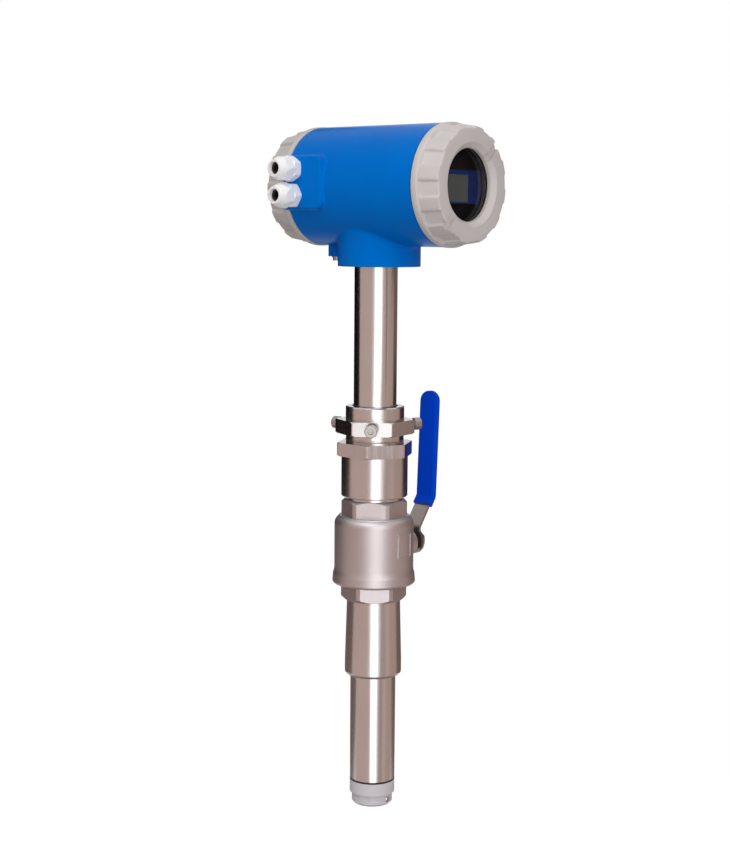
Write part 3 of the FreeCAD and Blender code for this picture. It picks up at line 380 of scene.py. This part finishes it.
# %% Threads of the clamp screws
SCREW_R = 0.004
SCREW_PITCH, SCREW_RIDGE = 0.00125, 0.0003
SCREW_ANGLES = (-55.5, 64.5, 184.5)
SCREW_SHANK = (0.0368, 0.0448)  # from the hexagon's flat to the underside of the head
COLLAR_H = 0.0142               # the nut's collar, above its hexagon
hexagon_low = box_top + THREAD_SHOWN
hexagon_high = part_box("packing_nut")[1].z - COLLAR_H
screw_level = Matrix.Translation((0, 0, (hexagon_low + hexagon_high) / 2))
z_to_x = Matrix.Rotation(math.radians(90), 4, "Y")
for number, angle in enumerate(SCREW_ANGLES, 1):
    place = screw_level @ Matrix.Rotation(math.radians(angle), 4, "Z") @ z_to_x
    thread(f"screw_thread_{number}", "valve", "screw_steel", place,
           SCREW_R, *SCREW_SHANK, SCREW_PITCH, SCREW_RIDGE)

# %% Thread of the stem
STEM_THREAD_R = 0.006
STEM_PITCH, STEM_RIDGE = 0.00075, 0.00015
STEM_POINT = 0.0002     # bare end of the stem
stem_low, stem_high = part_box("valve_stem")
stem_level = Matrix.Translation((0, 0, (stem_low.z + stem_high.z) / 2))
z_to_y = Matrix.Rotation(math.radians(-90), 4, "X")
thread("stem_thread", "handle", "machined_steel", stem_level @ z_to_y, STEM_THREAD_R,
       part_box("lever_nut")[1].y, stem_high.y - STEM_POINT, STEM_PITCH, STEM_RIDGE)

# %% [markdown]
# ## Covers
# The two screwed covers are castings: a plain rim next to the housing, then twelve shallow pockets
# that give the fingers a hold, and a flat face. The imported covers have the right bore, length and
# slots, but their grip is a row of soft arcs behind a rim that stands proud. In the picture the
# pockets have steep walls and the rim hardly stands proud, so both covers are made again here. A
# cover is nearly a turned piece. We could turn it and cut twelve pockets out, but a cut leaves no
# soft foot to a pocket's wall. Instead a closed profile is carried round the axis in columns, and
# each point of the profile says how deep the pockets are at its height. The columns stand closer
# where a pocket's wall is. The front cover also gets two slots for a spanner, cut with one bar.

# %% Profile of a cover
COVER_LEN, RIM_R, RIM_END = 0.031, 0.062, 0.0084
CREST_AT_RIM, CREST_AT_FACE = 0.0606, 0.0578
POCKET_AT_RIM, POCKET_AT_FACE = 0.0028, 0.0017
FACE_ROUND, FACE_STEPS = 0.0016, 4
FLAT_R = 0.0510         # the face is flat inside this radius
LIP_GAP, BORE_R, BORE_END = 0.0011, 0.05105, 0.0137
GROOVE_R, GROOVE_DEPTH = 0.05409, 0.00304
WINDOW_R, WINDOW_CONE_R, GLASS_ROOM_R = 0.0363, 0.0418, 0.04285
RECESS_AT, LEDGE_AT = 0.0265, 0.0228
BACK_AT, MOUTH_R, DISH, DISH_RIM = 0.0255, 0.046, 0.0012, 0.003

# The rim's two edges are rounded: each pair says how far along the axis and how far inwards.
RIM_EDGE_LOW = ((0, 0.0008), (0.0003, 0.0002), (0.0009, 0))
RIM_EDGE_HIGH = ((-0.0010, 0), (-0.0004, 0.0002), (0, 0.0007))
# A pocket starts in a hollow curve: along from the rim, outwards from the crest, and depth.
POCKET_START = ((0.0003, 0.0002, 0.0004), (0.0009, 0, POCKET_AT_RIM - 0.0005),
                (0.0018, 0, POCKET_AT_RIM))


def cover_outside():
    """Height, radius and pocket depth of each point, from the rim's edge to the face."""
    points = [(LIP_GAP + along, RIM_R - inwards, 0) for along, inwards in RIM_EDGE_LOW]
    points += [(RIM_END + along, RIM_R - inwards, 0) for along, inwards in RIM_EDGE_HIGH]
    points += [(RIM_END + along, CREST_AT_RIM + outwards, deep)
               for along, outwards, deep in POCKET_START]
    for k in range(FACE_STEPS + 1):
        angle = math.radians(90 * k / FACE_STEPS)
        points.append((COVER_LEN - FACE_ROUND * (1 - math.sin(angle)),
                       CREST_AT_FACE - FACE_ROUND * (1 - math.cos(angle)), POCKET_AT_FACE))
    return points + [(COVER_LEN, FLAT_R, 0)]


def bored(points):
    """Close a profile with the bore for the housing's collar and its seal."""
    return points + [(BORE_END, BORE_R, 0), (GROOVE_DEPTH, BORE_R, 0),
                     (GROOVE_DEPTH, GROOVE_R, 0), (LIP_GAP, GROOVE_R, 0)]


FRONT_PROFILE = bored(cover_outside() + [
    (COVER_LEN, WINDOW_CONE_R, 0), (RECESS_AT, WINDOW_R, 0),
    (LEDGE_AT, WINDOW_R, 0), (LEDGE_AT, GLASS_ROOM_R, 0), (BORE_END, GLASS_ROOM_R, 0)])
BACK_PROFILE = bored(cover_outside() + [
    (COVER_LEN, WINDOW_CONE_R + DISH_RIM, 0), (COVER_LEN - DISH, WINDOW_CONE_R, 0),
    (COVER_LEN - DISH, 0, 0), (BACK_AT, 0, 0), (BACK_AT, MOUTH_R, 0), (BORE_END, MOUTH_R, 0)])
print("points in the profiles", len(FRONT_PROFILE), len(BACK_PROFILE))

# %% Columns round a cover
POCKETS = 12
POCKET_HALF, WALL_HALF = 7.5, 1.0   # degrees from a pocket's middle to its wall, and half of the wall
PERIOD = 360 / POCKETS


def pocket_columns():
    """Angle from a pocket's middle and share of the pocket's depth, for one pocket and one crest."""
    floor_part = [(POCKET_HALF - WALL_HALF) * s for s in (-0.8, -0.4, 0, 0.4, 0.8)]
    crest_half = PERIOD / 2 - POCKET_HALF - WALL_HALF
    crest_part = [PERIOD / 2 + crest_half * s for s in (-0.7, -0.25, 0.25, 0.7)]
    walls = []
    for side in (-1, 1):
        for s in (-1, -0.5, 0, 0.5, 1):
            share = (1 + math.sin(math.radians(-90 * side * s))) / 2
            walls.append((side * POCKET_HALF + WALL_HALF * s, share))
    return sorted([(a, 1.0) for a in floor_part] + [(a, 0.0) for a in crest_part] + walls)


print("columns round a cover", POCKETS * len(pocket_columns()))


# %% Cut a bar out of a piece
def cut_out(target, cutter):
    """Cut one object out of another and remove the cutter."""
    cut = target.modifiers.new("slots", "BOOLEAN")
    cut.object = cutter
    cut.operation = "DIFFERENCE"
    cut.solver = "EXACT"
    seen = target.evaluated_get(bpy.context.evaluated_depsgraph_get())
    done = bpy.data.meshes.new_from_object(seen)
    target.modifiers.clear()
    target.data = done
    bpy.data.objects.remove(cutter)


# %% Turn a cover
AXIS_Z = cad_high.z - RIM_R         # the covers' axis lies level, a rim's radius below the top
MERGE = 0.000001                    # columns that meet on the axis become one point
SHARP_ANGLE = math.radians(38)


def lathe_cover(name, profile, base_x, direction, phase, cutter=None):
    """Carry a profile round the X axis; direction is 1 to the front and -1 to the back."""
    build = bmesh.new()
    loops = []
    for pocket in range(POCKETS):
        for offset, share in pocket_columns():
            angle = math.radians(phase + PERIOD * pocket + offset)
            loop = []
            for height, radius, deep in profile:
                r = radius - share * deep
                loop.append(build.verts.new((base_x + direction * height, r * math.cos(angle),
                                             AXIS_Z + r * math.sin(angle))))
            loops.append(loop)
    for before, after in zip(loops, loops[1:] + loops[:1]):
        for k in range(len(profile)):
            j = (k + 1) % len(profile)
            build.faces.new((before[k], before[j], after[j], after[k]))
    bmesh.ops.remove_doubles(build, verts=build.verts, dist=MERGE)
    bmesh.ops.recalc_face_normals(build, faces=build.faces)
    mesh = bpy.data.meshes.new(name)
    build.to_mesh(mesh)
    build.free()
    cover = bpy.data.objects.new(name, mesh)
    scene.collection.objects.link(cover)
    if cutter:
        cut_out(cover, cutter)
    cover.data.name = name
    cover.data.shade_smooth()
    cover.data.set_sharp_from_angle(angle=SHARP_ANGLE)
    cover.data.materials.clear()
    cover.data.materials.append(finishes["cover_paint"])
    print(name, "faces", len(cover.data.polygons))
    return cover


# %% Front cover
SLOT_W, SLOT_ANGLE = 0.0095, math.radians(45)
FRONT_PHASE = 4.5                   # bearing of a pocket, in degrees round the axis
front_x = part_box("front_cover")[1].x - COVER_LEN


def spanner_bar():
    """Bar across the front face, as wide and as deep as the two slots."""
    build = bmesh.new()
    bmesh.ops.create_cube(build, size=1.0)
    sides = Matrix.Diagonal((2 * (COVER_LEN - RECESS_AT), 3 * RIM_R, SLOT_W, 1))
    across = Matrix.Rotation(SLOT_ANGLE, 4, "X") @ sides
    build.transform(Matrix.Translation((front_x + COVER_LEN, 0, AXIS_Z)) @ across)
    mesh = bpy.data.meshes.new("spanner_bar")
    build.to_mesh(mesh)
    build.free()
    bar = bpy.data.objects.new("spanner_bar", mesh)
    scene.collection.objects.link(bar)
    return bar


front = lathe_cover("front_cover_casting", FRONT_PROFILE, front_x, 1, FRONT_PHASE, spanner_bar())
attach(front, "front_cover")
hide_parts("front_cover")

# %% Rear cover
BACK_PHASE = 19.5
back_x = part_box("rear_cover")[0].x + COVER_LEN
rear = lathe_cover("rear_cover_casting", BACK_PROFILE, back_x, -1, BACK_PHASE)
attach(rear, "rear_cover")
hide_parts("rear_cover")

# %% [markdown]
# ## Display
# Behind the window a blue panel holds a grey liquid-crystal glass, switched off. A thin raised frame
# runs round the glass. A curve with a bevel could make it, but its corners would pinch, so it is a
# closed ring of six corners in section, with round corners in plan. It stands on the panel's face
# and takes its place and size from the glass in the model.


# %% A frame on an upright face
def upright_frame(name, slot, face_x, centre, half, width, proud, corner, steps=6):
    """Rectangular ring standing on an upright face, with round corners and a bevelled top."""
    build = bmesh.new()
    loops = []
    for grow, lift in ((0.0, 0.0), (0.0, 0.6 * proud), (0.25 * width, proud), (0.75 * width, proud),
                       (width, 0.6 * proud), (width, 0.0)):
        loop = []
        for quarter, (sy, sz) in enumerate(((1, 1), (-1, 1), (-1, -1), (1, -1))):
            for k in range(steps + 1):
                angle = math.radians(90 * (quarter + k / steps))
                y = centre[0] + sy * (half[0] - corner) + (corner + grow) * math.cos(angle)
                z = centre[1] + sz * (half[1] - corner) + (corner + grow) * math.sin(angle)
                loop.append(build.verts.new((face_x + lift, y, z)))
        loops.append(loop)
    for inner, outer in zip(loops, loops[1:] + loops[:1]):
        for k in range(len(inner)):
            after = (k + 1) % len(inner)
            build.faces.new((inner[k], inner[after], outer[after], outer[k]))
    bmesh.ops.recalc_face_normals(build, faces=build.faces)
    mesh = bpy.data.meshes.new(name)
    build.to_mesh(mesh)
    build.free()
    mesh.materials.append(finishes[slot])
    rim = bpy.data.objects.new(name, mesh)
    scene.collection.objects.link(rim)
    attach(rim, "rod")
    return rim


# %% Frame round the display glass
lcd_low, lcd_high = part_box("lcd")
panel_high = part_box("display_panel")[1]
lcd_centre = ((lcd_low.y + lcd_high.y) / 2, (lcd_low.z + lcd_high.z) / 2)
lcd_half = ((lcd_high.y - lcd_low.y) / 2, (lcd_high.z - lcd_low.z) / 2)
FRAME_WIDTH, FRAME_PROUD, FRAME_CORNER = 0.0016, 0.0006, 0.0006
FRAME_SUNK = 0.0001     # its foot lies this far inside the panel
upright_frame("lcd_frame", "panel_blue", panel_high.x - FRAME_SUNK, lcd_centre, lcd_half,
              FRAME_WIDTH, FRAME_PROUD, FRAME_CORNER)
print("display glass", [round(2000 * h, 1) for h in lcd_half], "mm")

# %% [markdown]
# ## Stage
# The object is shown as in a catalogue, cut free on white. The floor and the world are white for
# every ray that the camera, the metal or the glass sends out, and they are dimmer for the light
# that falls on the object, so that its own colours come out as written. A bright lamp on a white
# backdrop would also burn it out, but it would pale the object too. The floor lies well below the
# tip, because the strip light in front has to reach down that far too.


# %% A flat sheet
def flat_sheet(name, centre, across, up, width, height):
    """Rectangle from its centre and two directions."""
    mesh = bpy.data.meshes.new(name)
    corners = [centre + across * (sx * width / 2) + up * (sy * height / 2)
               for sx, sy in ((-1, -1), (1, -1), (1, 1), (-1, 1))]
    mesh.from_pydata([tuple(c) for c in corners], [], [(0, 1, 2, 3)])
    sheet = bpy.data.objects.new(name, mesh)
    scene.collection.objects.link(sheet)
    return sheet


# %% Bright for some rays only
def seen_directly(tree, low, high, socket):
    """Give a socket one value for camera, glossy and transmission rays, and a lower one for others."""
    path = tree.nodes.new("ShaderNodeLightPath")
    total = path.outputs["Is Camera Ray"]
    for ray in ("Is Glossy Ray", "Is Transmission Ray"):
        either = tree.nodes.new("ShaderNodeMath")
        either.operation = "MAXIMUM"
        tree.links.new(total, either.inputs[0])
        tree.links.new(path.outputs[ray], either.inputs[1])
        total = either.outputs[0]
    choice = tree.nodes.new("ShaderNodeMapRange")
    choice.inputs["To Min"].default_value = low
    choice.inputs["To Max"].default_value = high
    tree.links.new(total, choice.inputs["Value"])
    tree.links.new(choice.outputs["Result"], socket)


# %% Floor
FLOOR_DROP = 1.05
FLOOR_SIDE = 120
FLOOR_GREY, FLOOR_GLOW = 0.45, 0.80     # what it sends back, and what it adds to come out white
floor_z = cad_low.z - FLOOR_DROP
floor = flat_sheet("floor", upwards * floor_z, Vector((1, 0, 0)), Vector((0, 1, 0)),
                   FLOOR_SIDE, FLOOR_SIDE)
material, tree, shader = new_material("floor_white")
shader.inputs["Base Color"].default_value = (FLOOR_GREY, FLOOR_GREY, FLOOR_GREY, 1)
shader.inputs["Roughness"].default_value = 1.0
shader.inputs["Specular IOR Level"].default_value = 0.0
shader.inputs["Emission Color"].default_value = (1, 1, 1, 1)
seen_directly(tree, 0.0, FLOOR_GLOW, shader.inputs["Emission Strength"])
floor.data.materials.append(material)
print("floor at", round(floor_z, 3))

# %% World
WORLD_LIGHT = 0.45
world = bpy.data.worlds.new("world")
scene.world = world
world.use_nodes = True
sky = world.node_tree.nodes["Background"]
sky.inputs["Color"].default_value = (1, 1, 1, 1)
seen_directly(world.node_tree, WORLD_LIGHT, 1.0, sky.inputs["Strength"])
print("the world lights the object at", WORLD_LIGHT)

# %% [markdown]
# ## Lamps
# Polished pipe shows the studio as upright stripes, so the stripes are what we place. A picture of a
# studio in the world could give them too, but then each stripe couldn't be moved by itself. Two tall
# softboxes close to the right of the camera give the broad white stripe, one for the upper half of
# the object and one for the lower. A lamp high up on the left lights the housing's top. Two weak
# lamps fill the far side, and no reflection shows them. A lamp's place is a bearing counted from the
# camera, so that the stripe goes where we want it in the picture.


# %% Places round the rod
def bearing(degrees, distance, height):
    """Place round the rod, counted to the right of the camera as the camera sees it."""
    angle = math.radians(degrees)
    away = sideways * math.sin(angle) - forward * math.cos(angle)
    return away * distance + upwards * height


print("to the right of the camera is", [round(c, 2) for c in bearing(90, 1, 0)])


# %% Softboxes
def softbox(name, degrees, distance, height, width, tall, glow, aim):
    """Area lamp whose face is glow times as bright as a white sheet in the picture."""
    light = bpy.data.lights.new(name, "AREA")
    light.shape = "RECTANGLE"
    light.size, light.size_y = width, tall
    light.energy = glow * math.pi * width * tall
    lamp = bpy.data.objects.new(name, light)
    scene.collection.objects.link(lamp)
    lamp.location = bearing(degrees, distance, height)
    lamp.rotation_euler = (lamp.location - aim).to_track_quat("Z", "Y").to_euler()
    lamp.visible_camera = False
    return lamp


# A row gives the lamp's bearing, distance and height, its face's width and height, its glow, the
# level on the rod that it is aimed at, and whether reflections show it.
for name, degrees, distance, height, width, tall, glow, aim, reflected in (
        ("strip_high", 14.5, 1.15, 0.66, 0.78, 0.96, 1.95, 0.66, True),
        ("strip_low", 4, 1.15, -0.28, 0.60, 0.90, 1.80, -0.28, True),
        ("top_light", -25, 1.3, 2.3, 1.5, 1.5, 2.6, 0.40, True),
        ("fill_left", -145, 1.8, 0.7, 1.3, 1.3, 0.5, 0.30, False),
        ("fill_back", 165, 1.8, 0.7, 1.3, 1.3, 0.9, 0.30, False)):
    lamp = softbox(name, degrees, distance, height, width, tall, glow, upwards * aim)
    lamp.visible_glossy = reflected
print("lamps", len(bpy.data.lights))

# %% [markdown]
# ## Cards
# Round the object stand cards that are seen only in reflections: warm grey screens in front, which
# make the middle tone of the steel, and black and brown ones behind, which draw its dark edges.
# Narrow cards give the thin dark line beside the white, and a small black one keeps the window
# clear. In a real studio they would also shade the object and be seen behind it. Here they are
# hidden from all rays but the glossy ones, and the window's card shows through the glass as well.
# Pipe that stands lower than the camera shows what is lower still, so each level of the object has
# its own height on the cards. A brown card near the ground keeps the edges that face down from
# shining.


# %% A card
def only_reflected(sheet, colour):
    """Paint a sheet in one plain colour and hide it from all rays but the glossy ones."""
    material, tree, shader = new_material(sheet.name)
    shader.inputs["Base Color"].default_value = (0, 0, 0, 1)
    shader.inputs["Roughness"].default_value = 1.0
    shader.inputs["Specular IOR Level"].default_value = 0.0
    shader.inputs["Emission Color"].default_value = (*colour, 1)
    shader.inputs["Emission Strength"].default_value = 1.0
    sheet.data.materials.append(material)
    for ray in ("camera", "diffuse", "transmission", "shadow"):
        setattr(sheet, "visible_" + ray, False)
    return sheet


def card(name, span, distance, levels, colour):
    """Upright sheet that spans two bearings and two heights."""
    middle, half = (span[0] + span[1]) / 2, math.radians(span[1] - span[0]) / 2
    width = 2 * distance * math.tan(half)
    away = bearing(middle, 1, 0)
    centre = bearing(middle, distance, (levels[0] + levels[1]) / 2)
    sheet = flat_sheet(name, centre, away.cross(upwards), upwards, width, levels[1] - levels[0])
    return only_reflected(sheet, colour)


# %% Screens, cards and lines
WARM, WARM_SHADE = (0.72, 0.545, 0.485), (0.60, 0.435, 0.375)
BLACK, BROWN = (0.003, 0.003, 0.003), (0.22, 0.150, 0.135)
LINE_DARK, LINE_SOFT = (0.20, 0.13, 0.13), (0.50, 0.38, 0.35)
LINE_AT, SCREEN_AT, CARD_AT = 1.5, 1.6, 2.5
FOOT, SCREEN_TOP, CARD_TOP = -1.1, 1.5, 2.5
for name, span, distance, levels, colour in (
        ("screen_left_1", (-56, -13), SCREEN_AT, (FOOT, SCREEN_TOP), WARM),
        ("screen_left_2", (-94, -56), SCREEN_AT, (FOOT, SCREEN_TOP), WARM),
        ("screen_right_1", (26, 70), SCREEN_AT, (FOOT, SCREEN_TOP), WARM),
        ("screen_right_2", (70, 112), SCREEN_AT, (FOOT, SCREEN_TOP), WARM_SHADE),
        ("card_left", (-176, -92), CARD_AT, (-0.30, CARD_TOP), BLACK),
        ("card_left_low", (-176, -92), CARD_AT, (FOOT, -0.30), BROWN),
        ("card_right", (107, 176), CARD_AT, (-0.30, 0.08), BLACK),
        ("card_right_high", (107, 176), CARD_AT, (0.08, CARD_TOP), BROWN),
        ("card_right_low", (107, 176), CARD_AT, (FOOT, -0.30), BROWN),
        ("line_high", (55, 63), LINE_AT, (0.15, SCREEN_TOP), LINE_DARK),
        ("line_low", (30, 50), LINE_AT, (FOOT, 0.15), LINE_SOFT)):
    card(name, span, distance, levels, colour)
print("screens and cards reach from", FOOT, "to", SCREEN_TOP, "and", CARD_TOP)

# %% Card near the ground and card for the window
GROUND_SIDE, GROUND_UP, GROUND_BROWN = 3.2, 0.06, (0.36, 0.27, 0.24)
ground_centre = upwards * (floor_z + GROUND_UP)
ground = flat_sheet("card_ground", ground_centre, sideways, forward, GROUND_SIDE, GROUND_SIDE)
only_reflected(ground, GROUND_BROWN)

WINDOW_SPAN, WINDOW_LEVELS = (88.6, 113.4), (0.38, 0.82)
window_card = card("card_window", WINDOW_SPAN, LINE_AT, WINDOW_LEVELS, BLACK)
window_card.visible_transmission = True
print("the card near the ground lies at", round(ground_centre.z, 3))

# %% [markdown]
# ## Finish
# The picture is shown with the Standard view, in which a colour comes out as it is written.

# %% Finish
scene.view_settings.view_transform = "Standard"
